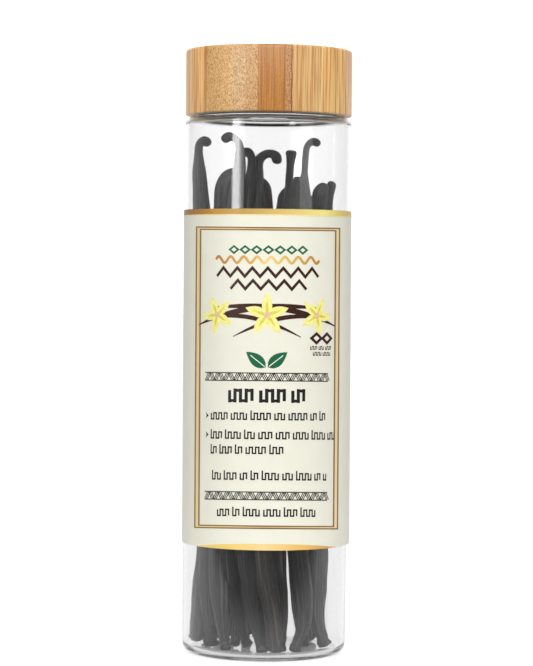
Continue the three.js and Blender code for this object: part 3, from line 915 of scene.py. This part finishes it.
stems = [stem((-23, 97.4), (16, 102.6), 2.4, 1.7), stem((-10, 94.2), (19, 99.5), 2.8, 1.3)]
printed("garland_stems", joined([stems[0], mirrored(stems[1])]), brown_ink, cuts=1)
printed("garland_stems_behind", joined([mirrored(stems[0]), stems[1]]), brown_ink, layer=0, cuts=1)
blossoms = [blossom(0, 100.5, 6.6), blossom(-15.4, 100.4, 5.8, 24), blossom(15.4, 100.4, 5.8, -24)]
BLOSSOM_PARTS = {"garland_petals": petal_ink, "garland_streaks": petal_shade, "garland_hearts": heart_ink}
for part, (name, ink) in enumerate(BLOSSOM_PARTS.items()):
    printed(name, joined([flower[part] for flower in blossoms]), ink, layer=2 + part, cuts=2)

# %% Draw the pair of leaves
white_ink = plain_ink("white_ink", "#f0f2e6", "#f7f8ee")
for name, mark, ink, layer in (("leaf_pair", petal(7.2, 3.6), green_ink, 1),
                               ("leaf_veins", ribbon([(0, 0.4), (0, 5.6)], 0.22), white_ink, 2)):
    both = [moved(mark, u, 85.4, turn=turn) for u, turn in ((-0.3, 52), (0.3, -52))]
    printed(name, joined(both), ink, layer=layer, cuts=2)

# %% [markdown]
# The back of the label has no picture: two side panels of small print between plain rules, one to
# each side of the gap.

# %% Print the back panels
back_marks = []
for left, right in ((-66, -47), (47, 66)):
    for z in np.arange(112, 52, -4.6):
        back_marks += key_words(left, right - float(small_print.uniform(0, 5)), z, 1.1, 0.26, 0.6, rise=0.5)
    back_marks += [bar(left, right, 117.4, 117.7), bar(left, right, 49.0, 49.3)]
printed("back_panels", joined(back_marks), black_ink)

# %% [markdown]
# ## The pods
#
# A cured vanilla pod is a flattened, oily, dark brown tube of skin, 5 to 7 mm wide, with long
# wrinkles, a slim bent neck at its stem end and a small flare where the flower was. Each pod follows
# its own line: where it stands, how it passes its neighbours and how its end bends. These are the
# same lines as the solid bundle's, drawn by the same rule and the same seeded draws.

# %% Where the pods stand
# foot, waist and head across the tube, reach, width, which end is up, curl of its bend and its angle,
# how far the foot bows sideways, and the least share of its width that the foot keeps
FRONT_PODS = [
    ((-20.2, 1.5), (-16.4, 0), (-20.6, -2), 152.9, 6.2, "stem", 1.2, 150, -0.4, 0.75),
    ((-15.8, -5), (-16, -5), (-12.6, -8), 143.2, 7.2, "round", 4.2, 75, 0, 0),
    ((-10.9, -14.5), (-14, -11), (-8.3, -15), 153.4, 6, "stem", 2, -145, -0.4, 0),
    ((-4.6, -5), (-10, -14), (-4.7, -12.5), 149.2, 5.8, "stem", 1.4, -110, -0.6, 0),
    ((4, -18.4), (0.6, -17.5), (-1.5, -9.5), 141, 6, "round", 3, -50, 0.3, 0.8),
    ((-0.4, -18.4), (-5.2, -17), (-3.4, -10.5), 149, 6.4, "stem", 2.4, 185, 0, 0),
    ((5.2, -15.5), (4.3, -16.2), (6.6, -13), 148.4, 5.4, "flower", 0, 0, 0, 0),
    ((-8.2, -5), (-5.5, -8), (4.9, -7), 138.6, 5.6, "round", 3.4, 50, 0, 0),
    ((8.6, -18.4), (9.3, -16), (8.9, -16.5), 142, 6, "blunt", 0, 0, 3.6, 0),
    ((18.2, -3), (14.2, -9), (10.9, -13), 152.4, 6.5, "long stem", 1.7, 130, -2.2, 0),
    ((12, -4.5), (11.5, -8.5), (15, -10.5), 139.6, 6.2, "round", 2.4, 65, 0, 0),
    ((12.8, 4), (16, 0.5), (18.2, -5.5), 141, 6, "stem", 2.2, 35, 0, 0),
]
# bearing round the back and reach
BACK_PODS = [(32, 136), (50, 137), (78, 127), (92, 129), (108, 141), (124, 128), (142, 137), (160, 127)]
BACK_RADIUS = 17
TWIST = 0.45
SEED = 20


class Draws:
    """The same draws, in the same order, as the solid bundle's."""

    def __init__(self, seed):
        self.state = seed

    def between(self, low, high):
        self.state = self.state * 16807 % 2147483647
        return low + (high - low) * self.state / 2147483647


draws = Draws(SEED)


def back_pod(bearing, reach):
    """A pod at the back wall, placed by a bearing and the seeded draws."""
    def at(angle, radius):
        return radius * math.cos(math.radians(angle)), radius * math.sin(math.radians(angle))

    pod = dict(foot=at(bearing, BACK_RADIUS + draws.between(0, 2)))
    angle = bearing + draws.between(-5, 5)
    pod["waist"] = at(angle, BACK_RADIUS - draws.between(0.5, 2))
    angle = bearing + draws.between(-6, 6)
    pod["head"] = at(angle, BACK_RADIUS + draws.between(-1.5, 1.5))
    pod["reach"], pod["tip"], pod["curl"] = reach, "stem", draws.between(1.8, 2.6)
    pod["turn"] = draws.between(60, 130) * (1 if bearing > 90 else -1)
    pod["wide"], pod["lies"] = draws.between(5.2, 6.4), bearing + 90
    pod["bow"] = pod["heel"] = 0
    return pod


FIELDS = ("foot", "waist", "head", "reach", "wide", "tip", "curl", "turn", "bow", "heel")
pods = [dict(zip(FIELDS, row), lies=0) for row in FRONT_PODS] + [back_pod(*row) for row in BACK_PODS]
for pod in pods:
    pod["facing"] = math.radians(pod["lies"]) + draws.between(-TWIST, TWIST)
print(len(pods), "pods")

# %% Spread them and draw their lines
LEVELS = (35, 58, 82, 106)
HEAD_LEVEL = 150
SQUEEZE = 0.88
WOBBLE = 0.9
ANKLE = 11
ANKLE_KICK = 0.4
FOOT_LIFT = 0.4
WALL_CLEARANCE = 0.6
ANKLE_CLEARANCE = 0.3
BUNDLE_RADIUS = 20.4
BODY_ROOM = 0.38
FOOT_ROOM = 0.32
NECK_SHARE = 0.45
CURL_STEPS = 6
CURL_START = 2.5
CURL_END = 0.52
DROP = 1.2  # a bent end runs straight on at its tip


def spread(places, radii, limit):
    """Moves the pods apart at one level until they lie side by side, inside a circle."""
    for _ in range(40):
        for i in range(len(places)):
            for j in range(i + 1, len(places)):
                apart = places[j] - places[i]
                distance = max(float(np.linalg.norm(apart)), 1e-3)
                overlap = radii[i] + radii[j] - distance
                if overlap > 0:
                    push = apart * (overlap / distance / 2)
                    places[i], places[j] = places[i] - push, places[j] + push
            room = limit - radii[i]
            length = float(np.linalg.norm(places[i]))
            if length > room:
                places[i] = places[i] * (room / length)
    return places


def places_at(z):
    """Where every pod passes one level, between its waist and its head."""
    share = (z - LEVELS[0]) / (HEAD_LEVEL - LEVELS[0])
    pull = 1 if z == LEVELS[0] else SQUEEZE
    places = []
    for pod in pods:
        waist, head = np.array(pod["waist"], float), np.array(pod["head"], float)
        wobble = np.array([draws.between(-WOBBLE, WOBBLE), draws.between(-WOBBLE, WOBBLE)])
        places.append((waist + (head - waist) * share) * pull + wobble)
    return spread(places, [pod["wide"] * BODY_ROOM for pod in pods], BUNDLE_RADIUS)


def curl_arc(curl, turn):
    """The arc of a bent end, as steps across and up. It tightens towards the tip."""
    sweep = math.radians(abs(turn))
    arc = [(0.0, 0.0)]
    for i in range(1, CURL_STEPS + 1 if curl > 0 else 1):
        low, high = sweep * (i - 1) / CURL_STEPS, sweep * i / CURL_STEPS
        radius = curl * CURL_START * (CURL_END / CURL_START) ** ((i - 0.5) / CURL_STEPS)
        across, up = arc[-1]
        arc.append((across + radius * (math.cos(low) - math.cos(high)),
                    up + radius * (math.sin(high) - math.sin(low))))
    if curl > 0:
        arc.append((arc[-1][0] + DROP * math.sin(sweep), arc[-1][1] + DROP * math.cos(sweep)))
    return arc


def heel_rise(reach):
    """How far the rounding inside the base lifts what stands at a reach from the axis."""
    over = max(0, reach - (heel_inside - inner_heel))
    return inner_heel - math.sqrt(inner_heel ** 2 - over ** 2)


levels = [places_at(z) for z in LEVELS]
feet = spread([np.array(pod["foot"], float) for pod in pods], [pod["wide"] * FOOT_ROOM for pod in pods],
              BASE_RADIUS - WALL - WALL_CLEARANCE)


def pod_line(k):
    """The points that one pod's centre line passes."""
    pod = pods[k]
    kick = np.array([draws.between(-ANKLE_KICK, ANKLE_KICK), draws.between(-ANKLE_KICK, ANKLE_KICK) / 2])
    ankle = feet[k] + (levels[0][k] - feet[k]) * (ANKLE / LEVELS[0]) + kick + (pod["bow"], 0)
    room = BASE_RADIUS - WALL - ANKLE_CLEARANCE - pod["wide"] / 2
    ankle *= min(1, room / np.linalg.norm(ankle))
    foot_z = FLOOR_TOP + FOOT_LIFT + heel_rise(np.linalg.norm(feet[k]) + pod["wide"] * BODY_ROOM)
    arc = curl_arc(pod["curl"], pod["turn"])
    tip_radius = 0 if pod["tip"] == "flower" else pod["wide"] / 2 * NECK_SHARE
    head_z = pod["reach"] - max(up for _, up in arc) - tip_radius
    sign = (pod["turn"] > 0) - (pod["turn"] < 0)
    line = [(*feet[k], foot_z), (*ankle, ANKLE)]
    line += [(*levels[i][k], z) for i, z in enumerate(LEVELS)]
    line += [(pod["head"][0] + sign * across, pod["head"][1], head_z + up) for across, up in arc]
    return np.array(line, float)


pod_lines = [pod_line(k) for k in range(len(pods))]
print("tallest tip:", round(max(line[:, 2].max() for line in pod_lines), 1), "mm")

# %% [markdown]
# A smooth curve through these points is sampled densely, and rings are set along it: close at the
# ends and in the bend, wider apart between. Each ring keeps its side direction from the one before,
# so the flat of the pod doesn't spin.

# %% Smooth lines and rings


def smooth_curve(points, steps=48):
    """A centripetal Catmull-Rom curve through the points, sampled between each two."""
    padded = np.vstack([2 * points[0] - points[1], points, 2 * points[-1] - points[-2]])
    out = []
    for i in range(1, len(padded) - 2):
        p0, p1, p2, p3 = padded[i - 1:i + 3]
        d0, d1, d2 = (max(float(np.sum((b - a) ** 2)) ** 0.25, 1e-4)
                      for a, b in ((p0, p1), (p1, p2), (p2, p3)))
        start = ((p1 - p0) / d0 - (p2 - p0) / (d0 + d1) + (p2 - p1) / d1) * d1
        end = ((p2 - p1) / d1 - (p3 - p1) / (d1 + d2) + (p3 - p2) / d2) * d1
        for t in np.linspace(0, 1, steps, endpoint=False):
            out.append(p1 + start * t + (-3 * p1 + 3 * p2 - 2 * start - end) * t ** 2
                       + (2 * p1 - 2 * p2 + start + end) * t ** 3)
    return np.array(out + [points[-1]])


def ring_places(length, bend):
    """Distances along a pod at which it has a ring."""
    spans = ((0, 3, 0.3), (3, 12, 0.75), (12, length - bend, 1.25), (length - bend, length - 2.4, 0.6),
             (length - 2.4, length, 0.2))
    return np.unique(np.round(np.concatenate([np.arange(*span) for span in spans] + [[length]]), 4))


# Shares of the full width at distances in millimetres from the foot and from the tip.
FOOT_TAPER = ((0, 0.16), (0.35, 0.44), (0.9, 0.52), (2.6, 0.44), (5, 0.54), (9, 0.74), (18, 1))
TIP_TAPERS = {
    "stem": ((0, 0.12), (0.3, 0.34), (0.9, 0.46), (2.2, 0.48), (4, 0.39), (6.5, 0.41), (12, 0.64),
             (22, 0.82), (36, 1)),
    "long stem": ((0, 0.1), (0.3, 0.26), (0.9, 0.35), (2.2, 0.36), (4, 0.3), (12, 0.3), (16.5, 0.6), (23, 1)),
    "blunt": ((0, 0.3), (0.25, 0.48), (0.9, 0.55), (4, 0.62), (12, 0.86), (26, 1)),
    "flower": ((0, 0.3), (0.25, 0.52), (0.8, 0.58), (2, 0.5), (4.5, 0.39), (14, 0.4), (24, 0.86), (34, 1)),
    "round": ((0, 0.1), (0.4, 0.38), (1.2, 0.58), (3, 0.76), (12, 0.88), (34, 1)),
}
FLATTENING = 0.38


def rings_of(pod, line):
    """Centres, side and up directions, half widths, thickness shares and distances of a pod's rings."""
    dense = smooth_curve(line)
    gone = np.concatenate([[0], np.cumsum(np.linalg.norm(np.diff(dense, axis=0), axis=1))])
    length = gone[-1]
    places = ring_places(length, 14 if pod["curl"] else 6)
    centres = np.stack([np.interp(places, gone, dense[:, i]) for i in range(3)], 1)
    tangents = np.gradient(centres, places, axis=0)
    tangents /= np.linalg.norm(tangents, axis=1)[:, None]
    side = Vector((math.cos(pod["facing"]), math.sin(pod["facing"]), 0))
    sides, ahead = [], Vector(tangents[0])
    side = (side - ahead * side.dot(ahead)).normalized()
    for tangent in tangents:
        side = ahead.rotation_difference(Vector(tangent)) @ side
        ahead = Vector(tangent)
        sides.append(tuple(side))
    sides = np.array(sides)
    foot_at, foot_share = zip(*FOOT_TAPER)
    tip_at, tip_share = zip(*TIP_TAPERS[pod["tip"]])
    foot_slim = np.interp(places, foot_at, foot_share)
    foot_slim = np.where(places > 0.9, np.maximum(foot_slim, pod["heel"]), foot_slim)
    slim = np.minimum(foot_slim, np.interp(length - places, tip_at, tip_share))
    full = np.clip(slim - NECK_SHARE, 0, None) / (1 - NECK_SHARE)
    return centres, sides, np.cross(tangents, sides), pod["wide"] / 2 * slim, 1 - FLATTENING * full, places


# %% [markdown]
# The skins are a Geometry Nodes tree, because a pod follows a path. Its input is a bare line of
# points that carry the ring's directions and sizes. The tree sweeps a circle along the line, puts
# each point of the circle at its place on the flattened ring, and pushes it in and out by noise that
# is stretched along the pod, which makes the long wrinkles. The cut foot is frayed: torn strands of
# about 1 mm stand out and in, most at the very end. The tree also keeps the straightened position of
# every point, so that the finish can follow the skin.

# %% Build the pod tree
ROD_RADIUS = 2.6  # of the straightened skin, in millimetres
POD_INPUTS = {"Sides": ("Int", 22), "Wrinkle": ("Float", 0.13), "Furrow": ("Float", 0.11),
              "Fray": ("Float", 0.45), "Floor": ("Float", 0.0), "Skin": ("Material", None)}
RING_DATA = {"centre": "FLOAT_VECTOR", "side": "FLOAT_VECTOR", "up": "FLOAT_VECTOR",
             "half_width": "FLOAT", "thickness": "FLOAT", "along": "FLOAT", "shift": "FLOAT"}
# Waves to the millimetre along each axis, detail, and the value of the noise that counts as -1.
FOLDS = {"fold": ((0.55, 0.55, 0.035), 1.0, 0.25), "furrow": ((1.5, 1.5, 0.06), 2.0, 0.25),
         "tear": ((0.9, 0.9, 0.4), 2.0, 0.3)}


def pod_tree():
    """Sweeps a wrinkled skin along lines that carry their rings as attributes."""
    made, given = geometry_tree("pod_skins", POD_INPUTS)
    curve = add(made, "GeometryNodeMeshToCurve", inputs={"Mesh": given["Geometry"]})
    circle = add(made, "GeometryNodeCurvePrimitiveCircle",
                 inputs={"Resolution": given["Sides"], "Radius": MM})
    known = {"index": add(made, "GeometryNodeInputIndex"), "sides": given["Sides"]}
    work_out(made, known, [("share", "DIVIDE", "index", "sides"),
                           ("angle", "MULTIPLY", "share", 2 * math.pi)])
    marked = add(made, "GeometryNodeStoreNamedAttribute", {"data_type": "FLOAT", "domain": "POINT"},
                 {"Geometry": circle, "Name": "angle", "Value": known["angle"]})
    swept = add(made, "GeometryNodeCurveToMesh",
                inputs={"Curve": curve, "Profile Curve": marked, "Fill Caps": True})

    known = {name: add(made, "GeometryNodeInputNamedAttribute", {"data_type": kind}, {"Name": name})
             for name, kind in {"angle": "FLOAT", **RING_DATA}.items()}
    known |= {name: given[name] for name in ("Wrinkle", "Furrow", "Fray", "Floor")}
    # The straightened skin is a round rod, shifted differently for each pod.
    work_out(made, known, [("cosine", "COSINE", "angle"), ("sine", "SINE", "angle"),
                           ("X", "MULTIPLY_ADD", "cosine", ROD_RADIUS, "shift"),
                           ("Y", "MULTIPLY", "sine", ROD_RADIUS)])
    rod = add(made, "ShaderNodeCombineXYZ", inputs={"X": known["X"], "Y": known["Y"], "Z": known["along"]})
    for name, (waves, detail, low) in FOLDS.items():
        known[name] = add(made, "ShaderNodeMapRange", {"clamp": False}, {
            "Value": drawn_out(made, rod, waves, detail), "From Min": low, "From Max": 1 - low,
            "To Min": -1.0, "To Max": 1.0})
    known["near foot"] = add(made, "ShaderNodeMapRange", inputs={
        "Value": known["along"], "From Min": 1.0, "From Max": 6.0, "To Min": 1.0, "To Max": 0.0})
    work_out(made, known, [
        ("folded", "MULTIPLY_ADD", "fold", "Wrinkle", 1.0),
        ("furrowed", "MULTIPLY_ADD", "furrow", "Furrow", "folded"),
        ("fray", "MULTIPLY", "near foot", "Fray"),
        ("frayed", "MULTIPLY_ADD", "tear", "fray", "furrowed"),
        ("reach", "MULTIPLY", "frayed", "half_width"),
        ("flat", "MULTIPLY", "reach", "thickness"),
        ("out", "MULTIPLY", "reach", "cosine"),
        ("over", "MULTIPLY", "flat", "sine"),
    ])
    at = known["centre"]
    for direction, size in (("side", "out"), ("up", "over")):
        step = add(made, "ShaderNodeVectorMath", {"operation": "SCALE"},
                   {0: known[direction], "Scale": known[size]})
        at = add(made, "ShaderNodeVectorMath", {"operation": "ADD"}, {0: at, 1: step})
    split = add(made, "ShaderNodeSeparateXYZ", inputs={0: at}).outputs
    known["height"] = split["Z"]
    work_out(made, known, [("standing", "MAXIMUM", "height", "Floor")])
    place = add(made, "ShaderNodeCombineXYZ",
                inputs={"X": split["X"], "Y": split["Y"], "Z": known["standing"]})
    shaped = add(made, "GeometryNodeSetPosition", inputs={"Geometry": swept, "Position": place})
    kept = add(made, "GeometryNodeStoreNamedAttribute", {"data_type": "FLOAT_VECTOR", "domain": "POINT"},
               {"Geometry": shaped, "Name": "straightened", "Value": rod})
    real = add(made, "GeometryNodeRealizeInstances", inputs={0: kept})
    skinned = add(made, "GeometryNodeSetMaterial", inputs={"Geometry": real, "Material": given["Skin"]})
    add(made, "NodeGroupOutput", inputs={0: skinned})
    return made


# %% [markdown]
# Cured vanilla skin is nearly black, brown on a few pods, and oily, so that each long wrinkle carries a
# soft grey streak of light. The fine wrinkles are about 0.4 mm apart.

# %% Finish: cured vanilla skin
DARK_SKIN = [(0.3, "#060606"), (0.55, "#0e0d0d"), (0.75, "#1e1b1a")]
BROWN_SKIN = [(0.3, "#14110f"), (0.5, "#26211e"), (0.72, "#39322e")]
# Painted highlights: a few ridges along each pod carry a pale streak of painted light, lines half a
# millimetre wide.
PAINTED_RIDGE_HIGHLIGHTS = [(0.525, "#000000"), (0.545, "#ffffff"), (0.555, "#ffffff"), (0.575, "#000000")]

vanilla_skin, tree, shader = material("cured_oily_vanilla_skin")
skin_at = add(tree, "ShaderNodeAttribute", {"attribute_name": "straightened"}).outputs["Vector"]
tone_of = add(tree, "ShaderNodeAttribute", {"attribute_name": "tone"}).outputs["Fac"]
streaks = drawn_out(tree, skin_at, (1.1, 1.1, 0.05), 3.0)
ridges = drawn_out(tree, skin_at, (0.75, 0.75, 0.012), 1.0)
wrinkles = drawn_out(tree, skin_at, (2.2, 2.2, 0.07), 3.0, 0.6)
dark, brown, ridge_highlights = (add(tree, "ShaderNodeValToRGB", inputs={"Fac": noise}, stops=stops)
                       for noise, stops in ((streaks, DARK_SKIN), (streaks, BROWN_SKIN), (ridges, PAINTED_RIDGE_HIGHLIGHTS)))
skin_colour = add(tree, "ShaderNodeMix", {"data_type": "RGBA"}, {0: tone_of, 6: dark, 7: brown})
# Painted highlights: pale grey lines mixed over the skin along a few ridges.
skin_with_painted_highlights = add(tree, "ShaderNodeMix", {"data_type": "RGBA"},
                {0: ridge_highlights, 6: skin_colour.outputs[2], 7: "#565350"})
relief = add(tree, "ShaderNodeBump", inputs={"Strength": 0.9, "Distance": 0.0006, "Height": wrinkles})
feed(shader, {"Base Color": skin_with_painted_highlights.outputs[2], "Roughness": 0.33, "Specular IOR Level": 0.5,
              "Normal": relief})

# %% Grow the pods
FOOT_GAP = 0.15
POD_SHIFT = 37.0  # keeps the noise of one pod apart from the next
BROWN_TONES = {4: 1.0, 9: 0.2, 14: 0.6}  # how brown some pods are, by their number


def pod_rings():
    """One mesh of bare lines, with the rings of every pod as its attributes."""
    rings, edges, start = [], [], 0
    for k, pod in enumerate(pods):
        centres, sides, ups, widths, thickness, places = rings_of(pod, pod_lines[k])
        count = len(places)
        edges += [(start + i, start + i + 1) for i in range(count - 1)]
        start += count
        rings.append((centres * MM, sides, ups, widths * MM, thickness, places,
                      np.full(count, POD_SHIFT * k), np.full(count, BROWN_TONES.get(k, 0.0))))
    columns = dict(zip((*RING_DATA, "tone"), (np.concatenate(column) for column in zip(*rings))))
    made = to_object("standing_pods", columns["centre"] / MM, [], edges=edges)
    for name, values in columns.items():
        kind, field = ("FLOAT_VECTOR", "vector") if values.ndim == 2 else ("FLOAT", "value")
        layer = made.data.attributes.new(name, kind, "POINT")
        layer.data.foreach_set(field, values.astype(np.float32).ravel())
    return made


standing_pods = pod_rings()
baked(standing_pods, pod_tree(), {"Floor": (FLOOR_TOP + FOOT_GAP) * MM, "Skin": vanilla_skin})
for name in (*RING_DATA, "angle"):
    layer = standing_pods.data.attributes.get(name)
    if layer:
        standing_pods.data.attributes.remove(layer)
point_outwards(standing_pods)
hand_over(standing_pods, "vanilla_pods", smooth=60)

# %% [markdown]
# ## Finish
#
# The picture shows light as it is, with no film curve, so white paper stays white. Light runs round
# the tube's heel and shoulder inside the wall, which takes many bounces.

# %% Show and finish
scene = bpy.context.scene
scene.view_settings.view_transform = "Standard"
scene.cycles.use_denoising = True
scene.cycles.max_bounces = 32
scene.cycles.glossy_bounces = 24
scene.cycles.transmission_bounces = 32
